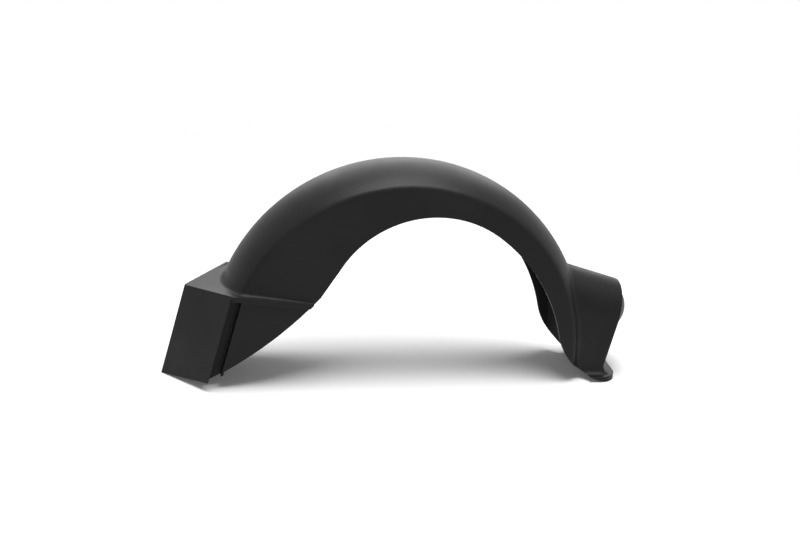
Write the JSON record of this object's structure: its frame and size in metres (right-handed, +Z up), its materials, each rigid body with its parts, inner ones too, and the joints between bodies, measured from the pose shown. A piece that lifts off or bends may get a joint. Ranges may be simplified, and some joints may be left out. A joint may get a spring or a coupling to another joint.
{
  "type": "scooter rear mudguard",
  "caption": "Arched rear mudguard for an electric scooter: domed crown, flat side walls, pointed front box with a top plate, and a lamp pod with a domed reflector over a flat foot lip.",
  "frame": {"origin": "below the middle of the part's length, on the surface it stands on", "axes": "+X to the rear along the part's length, +Y across it, +Z up"},
  "size_m": [0.3618, 0.08, 0.169],
  "materials": {
    "shell_plastic": "satin black with a fine moulded grain",
    "reflector_plastic": "smooth and glossy"
  },
  "bodies": {
    "root": {"mudguard_shell": "shell_plastic", "rear_reflector": "reflector_plastic"}
  },
  "joints": []
}
